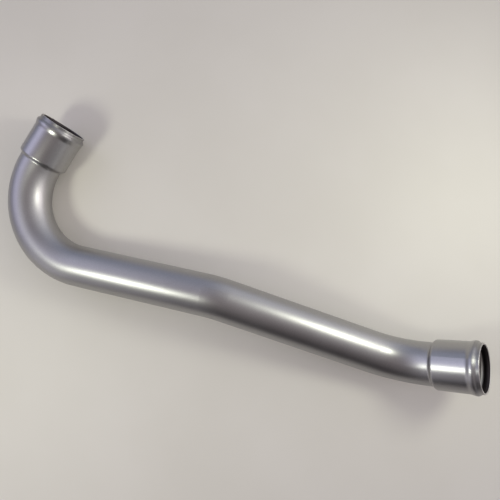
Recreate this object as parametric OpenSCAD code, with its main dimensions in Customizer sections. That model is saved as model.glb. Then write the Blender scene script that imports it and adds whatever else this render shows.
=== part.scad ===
// Formed coolant pipe for a radiator hose circuit.
// One round metal tube, bent three times in different planes. Both ends are
// swaged out into hose spigots, each with a rolled bead behind its mouth.
// The pipe lies on Z = 0 as it comes to rest, and X runs along its length.
// The route is described as on a tube bender: a straight, a roll of the tube
// about its own axis, then a bend, and so on from the left mouth to the right.

/* [Tube] */
// Outside diameter of the plain tube
tube_od = 32; // [30:0.5:36]
// Wall thickness, the same in the tube, the swages and the beads
wall = 1.2; // [0.8:0.1:1.5]
// Radius of every bend, measured to the middle of the tube
bend_radius = 53; // [45:1:120]

/* [Hose spigots] */
// Outside diameter of a spigot, where the hose grips
spigot_od = 36.5; // [34:0.5:38]
// Length of a spigot from its mouth to its swage, with lip and bead
spigot_length = 30.5; // [15:0.5:80]
// Length of the swage between a spigot and the plain tube
swage_length = 4; // [4:0.5:20]
// Outside diameter of the lip, a little under the spigot so that a hose starts easily
lip_od = 35.2; // [34.6:0.1:36.4]
// Plain lip between the mouth and the bead
lip_length = 1.6; // [1:0.1:8]
// Length of the bead's front flank, from the lip up to its crest
bead_front = 3.2; // [3:0.1:8]
// Length of the bead's back flank, from its crest down to the spigot
bead_back = 4.6; // [3:0.1:10]
// Height of the bead above the spigot
bead_height = 0.75; // [0.4:0.05:1.2]
// Edge broken off the mouth, inside and outside
edge_break = 0.25; // [0.1:0.05:0.3]

/* [Route] */
// Angle of the hooked bend behind the left spigot
hook_angle = 113; // [60:0.5:150]
// Straight tube between the hook and the shallow bend
left_run = 104.5; // [40:0.5:250]
// Roll of the tube before the shallow bend
kink_roll = 240; // [0:1:360]
// Angle of the shallow bend in the middle
kink_angle = 17; // [5:0.5:60]
// Straight tube between the shallow bend and the rising bend
right_run = 119; // [40:0.5:250]
// Roll of the tube before the rising bend
rise_roll = 183; // [0:1:360]
// Angle of the rising bend that lifts the right spigot
rise_angle = 50.5; // [10:0.5:90]

/* [Lying position] */
// Direction of the left spigot's axis in plan, from the mouth inwards
lie_heading = 234; // [0:0.5:360]
// Fall of the left spigot's axis from the mouth inwards
lie_fall = 5.1; // [-20:0.1:20]
// Roll of the hook's plane out of the level
lie_roll = 5.5; // [-20:0.1:20]

/* [Hidden] */
$fn = 96;
tube_r = tube_od / 2;
spigot_r = spigot_od / 2;
lip_r = lip_od / 2;
bead_r = spigot_r + bead_height;
bead_crest = lip_length + bead_front;
end_length = spigot_length + swage_length;
silver = [0.68, 0.69, 0.71];
// How far a bend's wall is set in from that of the straight tube, on each face
bend_thinning = 0.02;
// The straight tube's wall ends in a point inside the wall of the next bend
mid_r = tube_r - wall / 2;
point_length = wall / 2;
// Points on each arc of a bead's flank or a swage
arc_steps = 8;
// Samples taken round each bend when the lying pipe is measured
bend_samples = 24;

// Placements are matrices. The tube always heads along its own +Z, and a bend
// always curls towards its own +X.

function shift(v) = [[1, 0, 0, v.x], [0, 1, 0, v.y], [0, 0, 1, v.z], [0, 0, 0, 1]];

function about_x(a) = [[1, 0, 0, 0], [0, cos(a), -sin(a), 0], [0, sin(a), cos(a), 0], [0, 0, 0, 1]];

function about_y(a) = [[cos(a), 0, sin(a), 0], [0, 1, 0, 0], [-sin(a), 0, cos(a), 0], [0, 0, 0, 1]];

function about_z(a) = [[cos(a), -sin(a), 0, 0], [sin(a), cos(a), 0, 0], [0, 0, 1, 0], [0, 0, 0, 1]];

function along(length) = shift([0, 0, length]);

function around(turn) = shift([bend_radius, 0, 0]) * about_y(turn) * shift([-bend_radius, 0, 0]);

// The route from the left mouth, before the pipe is moved over the origin
mouth_left = about_z(lie_heading) * about_y(90 + lie_fall) * about_z(90 + lie_roll);
hook_start = mouth_left * along(end_length);
hook_end = hook_start * around(hook_angle);
kink_start = hook_end * along(left_run) * about_z(kink_roll);
kink_end = kink_start * around(kink_angle);
rise_start = kink_end * along(right_run) * about_z(rise_roll);
rise_end = rise_start * around(rise_angle);
mouth_right = rise_end * along(end_length) * about_x(180);

// A round section of the lying pipe: its placement and its outside radius
function bend_sections(start, turn) =
    [for (i = [0 : bend_samples]) [start * around(turn * i / bend_samples), tube_r - bend_thinning]];

function spigot_sections(mouth) = [
    [mouth, lip_r - edge_break],
    [mouth * along(bead_crest), bead_r],
    [mouth * along(spigot_length), spigot_r],
];

sections = concat(
    spigot_sections(mouth_left),
    bend_sections(hook_start, hook_angle),
    bend_sections(kink_start, kink_angle),
    bend_sections(rise_start, rise_angle),
    spigot_sections(mouth_right)
);

// How far a section reaches either side of its middle along one axis
function reach(section, axis) = section[1] * sqrt(1 - pow(section[0][axis][2], 2));

low = [for (axis = [0 : 2]) min([for (s = sections) s[0][axis][3] - reach(s, axis)])];
high = [for (axis = [0 : 2]) max([for (s = sections) s[0][axis][3] + reach(s, axis)])];
to_origin = shift([-(low.x + high.x) / 2, -(low.y + high.y) / 2, -low.z]);

// The stretch of wall where its outside steps from one radius to another, as
// two equal arcs that flow into each other and into the plain wall either side.
// Points are [radius, distance from the mouth], inset from the outside surface.
function step_line(from_r, to_r, start, length, inset) =
    let (
        side = sign(to_r - from_r),
        sweep = 2 * atan(abs(to_r - from_r) / length),
        arc = length / (2 * sin(sweep)),
        turns = [for (i = [1 : arc_steps]) sweep * i / arc_steps],
        turns_back = [for (i = [arc_steps - 1 : -1 : 0]) sweep * i / arc_steps]
    )
    concat(
        [for (t = turns) [
            from_r + side * arc * (1 - cos(t)) - inset * cos(t),
            start + (arc + side * inset) * sin(t)
        ]],
        [for (t = turns_back) [
            to_r - side * arc * (1 - cos(t)) - inset * cos(t),
            start + length - (arc - side * inset) * sin(t)
        ]]
    );

// One face of the wall, from the lip over the bead and down the swage
function wall_line(inset) = concat(
    [[lip_r - inset, lip_length]],
    step_line(lip_r, bead_r, lip_length, bead_front, inset),
    step_line(bead_r, spigot_r, bead_crest, bead_back, inset),
    [[spigot_r - inset, spigot_length]],
    step_line(spigot_r, tube_r, spigot_length, swage_length, inset)
);

function reversed(points) = [for (i = [len(points) - 1 : -1 : 0]) points[i]];

// A spigot with its bead and swage, mouth at the origin, tube along +Z
module spigot() {
    inner_r = lip_r - wall;
    rotate_extrude()
        polygon(concat(
            [[inner_r, edge_break], [inner_r + edge_break, 0]],
            [[lip_r - edge_break, 0], [lip_r, edge_break]],
            wall_line(0),
            [[mid_r, end_length + point_length]],
            reversed(wall_line(wall))
        ));
}

module straight(length) {
    inner_r = tube_r - wall;
    rotate_extrude()
        polygon([
            [inner_r, 0], [mid_r, -point_length], [tube_r, 0],
            [tube_r, length], [mid_r, length + point_length], [inner_r, length],
        ]);
}

module bend(turn) {
    translate([bend_radius, 0, 0])
        rotate([90, 0, 180])
            rotate_extrude(angle = turn)
                translate([bend_radius, 0])
                    difference() {
                        circle(r = tube_r - bend_thinning);
                        circle(r = tube_r - wall + bend_thinning);
                    }
}

module pipe() {
    color(silver)
        multmatrix(to_origin) {
            multmatrix(mouth_left) spigot();
            multmatrix(hook_start) bend(hook_angle);
            multmatrix(hook_end) straight(left_run);
            multmatrix(kink_start) bend(kink_angle);
            multmatrix(kink_end) straight(right_run);
            multmatrix(rise_start) bend(rise_angle);
            multmatrix(mouth_right) spigot();
        }
}

pipe();
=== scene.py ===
"""Looks for the radiator pipe: its satin metal, the board under it, lamps, room and camera."""

from math import radians

import bpy
from mathutils import Matrix, Vector


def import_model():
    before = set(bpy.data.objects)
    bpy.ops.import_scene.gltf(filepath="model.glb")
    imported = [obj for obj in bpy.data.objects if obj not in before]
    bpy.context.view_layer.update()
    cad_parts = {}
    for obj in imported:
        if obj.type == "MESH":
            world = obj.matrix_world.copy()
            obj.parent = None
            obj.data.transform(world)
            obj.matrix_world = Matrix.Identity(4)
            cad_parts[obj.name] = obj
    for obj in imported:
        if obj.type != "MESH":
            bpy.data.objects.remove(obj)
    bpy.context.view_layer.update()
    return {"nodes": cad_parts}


MM = 0.001

# Camera, fitted to the outline in the photograph: its place in mm, its tilts in degrees, and its
# focal length in pixels of a picture 500 wide
CAMERA_AT = (23.58, -13.44, 360.59)
CAMERA_TILTS = (-1.716, -2.34, 1.516)
FOCAL_PX = 439.86
PICTURE_PX = 500
SENSOR_MM = 36
CLIP_M = (0.01, 50)

# Mouths of the spigots in mm, and the directions in which the tube leaves them
MOUTHS = (
    ((-135.248, 99.008, 20.943), (-0.58546, -0.80581, -0.08889)),
    ((171.011, -89.986, 49.1), (-0.79473, -0.03466, -0.60597)),
)

# Where the stretches of a spigot fade in or out, in mm behind its mouth. The bead's crest is at
# 4.8 and the swage begins at 30.5.
RIM_ENDS = (0.3, 0.4)
BAND_ENDS = (4.3, 5.3)
GROOVE_EDGE_BEGINS = (5.0, 5.6)
GROOVE_EDGE_ENDS = (6.2, 6.8)
SPIGOT_ENDS = (30.0, 33.5)
NEAR_ENDS = (50.0, 62.0)
# Everything this close to a spigot's axis belongs to that spigot, in mm
SPIGOT_REACH = 24.0
# Cosine between the normal and the way out from the axis: an inside wall's is below this span
INSIDE_COSINE = (-0.3, -0.1)

# Satin metal. Colours are as in a picture, 0 to 255.
METAL = (166, 165, 166)
# Painted shade: the inside walls of the spigots are coloured darker to stand for the dark bore
METAL_INSIDE_PAINTED_SHADE = (98, 92, 95)
# Painted highlight: the rim of each mouth and the groove's edge inside are coloured brighter
METAL_PAINTED_HIGHLIGHT = (198, 196, 194)
FLAKE_SCALE = 1800.0
FLAKE_TONE = (0.93, 1.05)
FLAKE_HEIGHT = 0.12
CLOUD_SCALE = 28.0
CLOUD_TONE = (-0.02, 0.02)
CLOUD_ROUGHNESS = (-0.015, 0.015)
LINE_SCALE = 1.6
LINE_TONE = 0.13
LINE_ROUGHNESS = 0.03
LINE_HEIGHT = 0.3
# The turned band is darker: partly its duller finish, partly painted shade that dims the light
# on the bead's front flank
BAND_TONE = -0.15
BAND_BRUSHING = 0.8
ROUGHNESS = 0.38
SPIGOT_ROUGHNESS = 0.33
BAND_ROUGHER = 0.1
INSIDE_ROUGHER = 0.2
BUMP_DEPTH_M = 0.0001

# Pale board, and the backdrop past it
BOARD_HALF_M = 3.0
BOARD_TONES = ((210, 206, 198), (215, 211, 204))
BOARD_CLOUD_SCALE = 6.0
BOARD_ROUGHNESS = 0.55
BACKDROP = (206, 200, 193)

# Most of what a noise texture gives lies in this span
NOISE_SPAN = (0.3, 0.7)

# Lamps: name, place and aim in mm, width in mm, watts and colour
LAMPS = (
    ("lamp_left", (-333, -128, 380), (-40, -10, 0), 130, 0.7, (0.96, 1.0, 0.85)),
    ("lamp_right", (263, 47, 256), (40, -20, 0), 95, 0.38, (0.96, 1.0, 0.83)),
)

# Light of the room: where it comes from, how narrow it is, and its colour
ROOM = (
    ((0.97, 0.26, 0.0), 2, (1.38, 1.37, 1.41)),
    ((-0.26, 0.97, 0.0), 2, (0.36, 0.40, 0.54)),
    ((0.0, 0.0, 1.0), 2, (0.33, 0.28, 0.29)),
    ((-0.79, 0.21, 0.57), 14, (0.99, 0.97, 1.33)),
    ((-0.58, 0.58, 0.57), 14, (0.48, 0.51, 0.59)),
    ((-0.86, -0.50, 0.14), 14, (0.85, 0.82, 0.90)),
    ((0.99, 0.0, 0.14), 14, (1.82, 1.59, 1.54)),
)


def srgb(rgb):
    """A colour as in a picture, 0 to 255, made linear."""

    def linear(v):
        v /= 255
        return v / 12.92 if v <= 0.04045 else ((v + 0.055) / 1.055) ** 2.4

    return (*map(linear, rgb), 1)


class Nodes:
    """A node tree that is built with short calls."""

    def __init__(self, tree):
        self.tree = tree
        tree.nodes.clear()

    def add(self, kind, inputs=None, **settings):
        node = self.tree.nodes.new(kind)
        for name, value in settings.items():
            setattr(node, name, value)
        for name, value in (inputs or {}).items():
            self.put(node.inputs[name], value)
        return node

    def put(self, socket, value):
        if isinstance(value, bpy.types.NodeSocket):
            self.tree.links.new(value, socket)
        else:
            socket.default_value = value

    def math(self, operation, *values):
        node = self.add("ShaderNodeMath", operation=operation)
        for socket, value in zip(node.inputs, values):
            self.put(socket, value)
        return node.outputs[0]

    def times(self, *values):
        return self.math("MULTIPLY", *values)

    def total(self, first, *others):
        for value in others:
            first = self.math("ADD", first, value)
        return first

    def vector(self, operation, *values):
        node = self.add("ShaderNodeVectorMath", operation=operation)
        for socket, value in zip(node.inputs, values):
            self.put(socket, value)
        return node.outputs["Value" if operation in ("DOT_PRODUCT", "LENGTH") else "Vector"]

    def scaled(self, vector, factor):
        node = self.add("ShaderNodeVectorMath", operation="SCALE")
        self.put(node.inputs[0], vector)
        self.put(node.inputs["Scale"], factor)
        return node.outputs[0]

    def ramp(self, value, span=(0.0, 1.0), to=(0.0, 1.0)):
        """A smooth step over a span of the value, from one number to another."""
        node = self.add("ShaderNodeMapRange", interpolation_type="SMOOTHSTEP")
        names = ("Value", "From Min", "From Max", "To Min", "To Max")
        for name, v in zip(names, (value, *span, *to)):
            self.put(node.inputs[name], v)
        return node.outputs["Result"]

    def fade(self, value, span):
        """1 below a span of the value, and 0 above it."""
        return self.ramp(value, span, (1.0, 0.0))

    def mix(self, factor, a, b):
        node = self.add("ShaderNodeMix", data_type="RGBA")
        self.put(node.inputs[0], factor)
        self.put(node.inputs[6], a)
        self.put(node.inputs[7], b)
        return node.outputs[2]

    def noise(self, place, scale, detail):
        inputs = {"Vector": place, "Scale": scale, "Detail": detail}
        return self.add("ShaderNodeTexNoise", inputs).outputs["Fac"]


def new_material(name):
    material = bpy.data.materials.new(name)
    material.use_nodes = True
    return material, Nodes(material.node_tree)


def spigot_masks(n, place, normal, mouth, inward):
    """Masks round one mouth, with the lines of its turned band last."""
    arm = n.vector("SUBTRACT", place, [c * MM for c in mouth])
    along = n.vector("DOT_PRODUCT", arm, inward)
    out = n.vector("SUBTRACT", arm, n.scaled(inward, along))
    cosine = n.vector("DOT_PRODUCT", n.vector("NORMALIZE", out), normal)
    behind = n.times(along, 1 / MM)
    off_axis = n.times(n.vector("LENGTH", out), 1 / MM)

    near = n.times(n.math("LESS_THAN", off_axis, SPIGOT_REACH), n.fade(behind, NEAR_ENDS))
    inside = n.times(near, n.fade(cosine, INSIDE_COSINE))
    # A painted highlight: the edge of the groove that the bead makes on the inside wall
    groove = n.times(n.ramp(behind, GROOVE_EDGE_BEGINS), n.fade(behind, GROOVE_EDGE_ENDS))
    groove_highlight = n.times(inside, groove)
    # Painted highlight on the rim of the mouth
    rim_highlight = n.times(near, n.fade(behind, RIM_ENDS))
    spigot = n.times(near, n.fade(behind, SPIGOT_ENDS))
    band = n.times(n.math("SUBTRACT", near, inside), n.fade(behind, BAND_ENDS))
    turned = n.noise(n.scaled((0.0, 0.0, 1.0), behind), LINE_SCALE, 3.0)
    line = n.times(band, n.ramp(turned, NOISE_SPAN, (-1.0, 1.0)))
    return near, inside, groove_highlight, rim_highlight, spigot, band, line


def satin_metal():
    material, n = new_material("satin_metal")
    at = n.add("ShaderNodeTexCoord")
    place, normal = at.outputs["Object"], at.outputs["Normal"]

    # The brushed gloss follows the tube near a mouth, and any fixed direction elsewhere
    tangent = (0.0, 0.0, 0.001)
    both = []
    for mouth, inward in MOUTHS:
        near, *masks = spigot_masks(n, place, normal, mouth, inward)
        tangent = n.vector("ADD", n.scaled(inward, near), tangent)
        both.append(masks)
    inside, groove_highlight, rim_highlight, spigot, band, line = (n.total(*pair) for pair in zip(*both))

    flakes = n.noise(place, FLAKE_SCALE, 2.0)
    cloud = n.noise(place, CLOUD_SCALE, 3.0)
    tone = n.total(
        n.ramp(flakes, NOISE_SPAN, FLAKE_TONE),
        n.ramp(cloud, NOISE_SPAN, CLOUD_TONE),
        # Darker turned band: duller finish and painted shade
        n.ramp(band, to=(0.0, BAND_TONE)),
        n.times(line, LINE_TONE),
    )
    # Painted shade: the inside walls take the darker inside colour
    colour = n.mix(inside, srgb(METAL), srgb(METAL_INSIDE_PAINTED_SHADE))
    # Painted highlights: the rim and the groove's edge inside take the brighter colour
    colour = n.mix(n.math("MAXIMUM", rim_highlight, groove_highlight), colour, srgb(METAL_PAINTED_HIGHLIGHT))
    roughness = n.total(
        n.ramp(spigot, to=(ROUGHNESS, SPIGOT_ROUGHNESS)),
        n.ramp(inside, to=(0.0, INSIDE_ROUGHER)),
        n.ramp(band, to=(0.0, BAND_ROUGHER)),
        n.ramp(cloud, NOISE_SPAN, CLOUD_ROUGHNESS),
        n.times(line, LINE_ROUGHNESS),
    )
    height = n.total(n.times(flakes, FLAKE_HEIGHT), n.times(line, LINE_HEIGHT))
    bump = n.add("ShaderNodeBump", {"Height": height, "Strength": 1.0, "Distance": BUMP_DEPTH_M})
    shader = n.add(
        "ShaderNodeBsdfPrincipled",
        {
            "Base Color": n.scaled(colour, tone),
            "Metallic": 1.0,
            "Roughness": roughness,
            "Anisotropic": n.times(band, BAND_BRUSHING),
            "Tangent": tangent,
            "Normal": bump.outputs["Normal"],
        },
    )
    n.add("ShaderNodeOutputMaterial", {"Surface": shader.outputs[0]})
    return material


def board():
    """The pale board that the pipe lies on, wide enough to fill the photograph's view."""
    mesh = bpy.data.meshes.new("board")
    s = BOARD_HALF_M
    mesh.from_pydata([(-s, -s, 0), (s, -s, 0), (s, s, 0), (-s, s, 0)], [], [(0, 1, 2, 3)])
    floor = bpy.data.objects.new("board", mesh)
    bpy.context.scene.collection.objects.link(floor)
    material, n = new_material("pale_board")
    cloud = n.noise(n.add("ShaderNodeTexCoord").outputs["Object"], BOARD_CLOUD_SCALE, 4.0)
    low, high = BOARD_TONES
    colour = n.mix(n.ramp(cloud, NOISE_SPAN), srgb(low), srgb(high))
    inputs = {"Base Color": colour, "Roughness": BOARD_ROUGHNESS}
    shader = n.add("ShaderNodeBsdfPrincipled", inputs)
    n.add("ShaderNodeOutputMaterial", {"Surface": shader.outputs[0]})
    mesh.materials.append(material)


def lamp(name, at, aim, size, watts, colour):
    data = bpy.data.lights.new(name, "AREA")
    data.shape = "DISK"
    data.size = size * MM
    data.energy = watts
    data.color = colour
    light = bpy.data.objects.new(name, data)
    bpy.context.scene.collection.objects.link(light)
    light.location = Vector(at) * MM
    towards = (Vector(aim) - Vector(at)) * MM
    light.rotation_euler = towards.to_track_quat("-Z", "Y").to_euler()
    light.visible_camera = False


def world():
    """The room's light, with a plain pale backdrop where the camera looks past the board."""
    w = bpy.data.worlds.new("room")
    w.use_nodes = True
    bpy.context.scene.world = w
    n = Nodes(w.node_tree)
    towards = n.add("ShaderNodeTexCoord").outputs["Generated"]
    light = (0.0, 0.0, 0.0)
    for side, narrow, colour in ROOM:
        facing = n.math("MAXIMUM", n.vector("DOT_PRODUCT", towards, side), 0.0)
        light = n.vector("ADD", n.scaled(colour, n.math("POWER", facing, float(narrow))), light)
    seen = n.add("ShaderNodeLightPath").outputs["Is Camera Ray"]
    shade = n.add("ShaderNodeBackground", {"Color": n.mix(seen, light, srgb(BACKDROP))})
    n.add("ShaderNodeOutputWorld", {"Surface": shade.outputs[0]})


def camera():
    data = bpy.data.cameras.new("camera")
    data.sensor_width = SENSOR_MM
    data.lens = SENSOR_MM * FOCAL_PX / PICTURE_PX
    data.clip_start, data.clip_end = CLIP_M
    cam = bpy.data.objects.new("camera", data)
    bpy.context.scene.collection.objects.link(cam)
    x, y, z = (Matrix.Rotation(radians(a), 4, axis) for a, axis in zip(CAMERA_TILTS, "XYZ"))
    cam.matrix_world = Matrix.Translation(Vector(CAMERA_AT) * MM) @ (x @ y @ z).transposed()
    bpy.context.scene.camera = cam


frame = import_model()
metal = satin_metal()
for slot in frame["nodes"]["pipe"].material_slots:
    slot.material = metal
board()
for settings in LAMPS:
    lamp(*settings)
world()
camera()
bpy.context.scene.view_settings.view_transform = "Standard"
